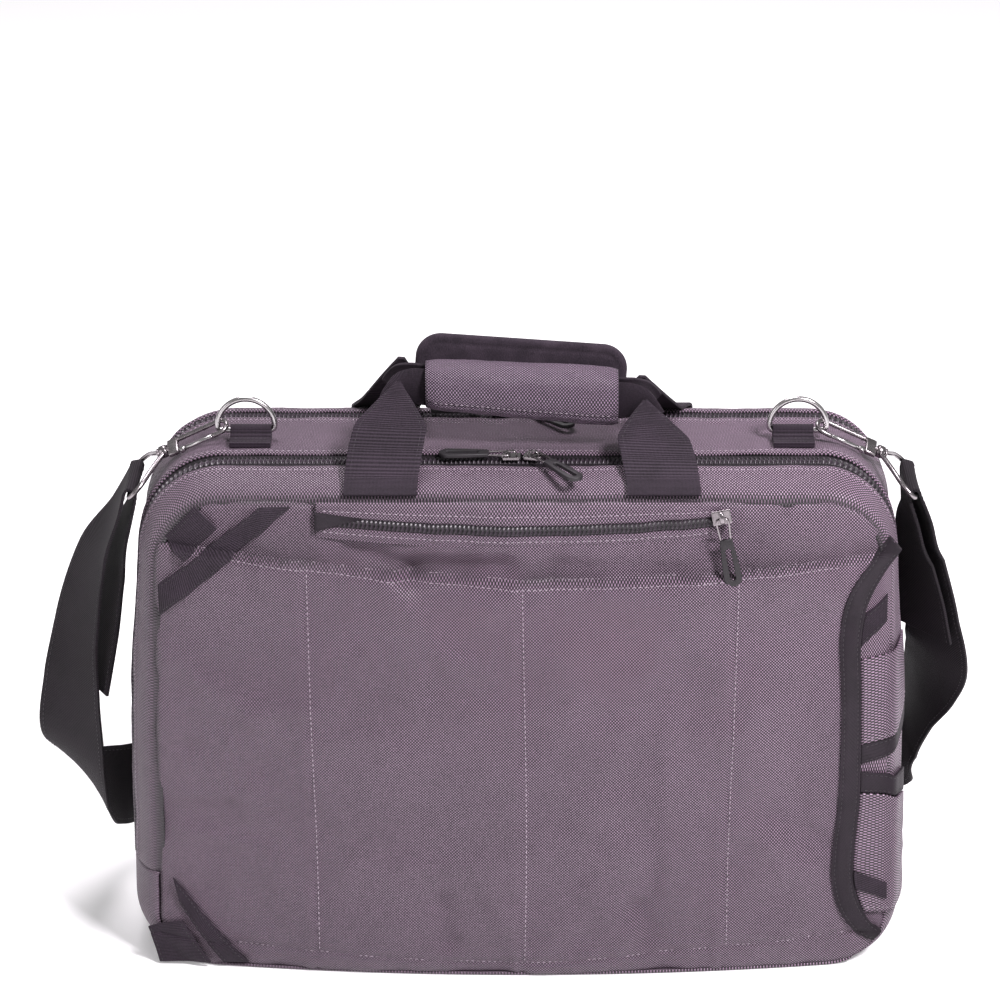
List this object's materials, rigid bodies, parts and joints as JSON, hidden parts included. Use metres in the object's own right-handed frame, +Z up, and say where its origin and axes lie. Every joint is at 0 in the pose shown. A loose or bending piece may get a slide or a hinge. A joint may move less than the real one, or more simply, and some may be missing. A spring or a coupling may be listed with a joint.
{
  "type": "convertible laptop bag",
  "caption": "Grey ballistic-nylon convertible laptop bag in briefcase form, with black webbing handles, zips, side pocket and clip-on shoulder strap.",
  "frame": {"origin": "centre of the base, on the floor it stands on", "axes": "+X to the right seen from the front, -Y out of the front, +Z up"},
  "size_m": [0.5654, 0.1886, 0.3833],
  "materials": {
    "fabric": "matte",
    "webbing": "matte",
    "coil": "satin",
    "rubber": "satin",
    "metal": "polished"
  },
  "bodies": {
    "bag": {"front_panel": "fabric", "corner_panel": "fabric", "pocket_welt": "fabric", "front_gusset": "fabric", "middle_gusset": "fabric", "back_gusset": "fabric", "bottom_gusset": "fabric", "back_panel": "fabric", "side_flap": "fabric", "side_pocket": "fabric", "grip_wrap": "fabric", "edge_binding": "webbing", "corner_strap_top": "webbing", "corner_tab_top": "webbing", "corner_strap_bottom": "webbing", "corner_tab_bottom": "webbing", "side_flap_binding": "webbing", "side_pocket_binding": "webbing", "side_band_low": "webbing", "side_band_high": "webbing", "d_ring_tab_left": "webbing", "d_ring_tab_right": "webbing", "shoulder_strap": "webbing", "front_handle": "webbing", "back_handle": "webbing", "grip_flap": "webbing", "front_zip": "coil", "back_zip": "coil", "pocket_zip": "coil", "d_ring_left": "metal", "d_ring_right": "metal", "hook_body_left": "metal", "hook_body_right": "metal", "hook_loop_left": "metal", "hook_loop_right": "metal", "front_slider_left": "metal", "front_slider_right": "metal", "back_slider_left": "metal", "back_slider_right": "metal", "pocket_slider": "metal", "front_pull_left": "rubber", "front_pull_right": "rubber", "back_pull_left": "rubber", "back_pull_right": "rubber", "pocket_pull": "rubber"},
    "gate_left": {"hook_gate_left": "metal"},
    "gate_right": {"hook_gate_right": "metal"}
  },
  "joints": [
    {"name": "hook_gate_left_hinge", "type": "hinge", "parent": "bag", "child": "gate_left", "pos_m": [-0.19958, -0.01498, 0.31513], "axis": [-0.3971, -0.342, 0.8517], "range_deg": [0, 20], "stiffness_Nm_per_rad": 0.01},
    {"name": "hook_gate_right_hinge", "type": "hinge", "parent": "bag", "child": "gate_right", "pos_m": [0.19958, -0.01498, 0.31513], "axis": [-0.3971, 0.342, -0.8517], "range_deg": [0, 20], "stiffness_Nm_per_rad": 0.01}
  ]
}
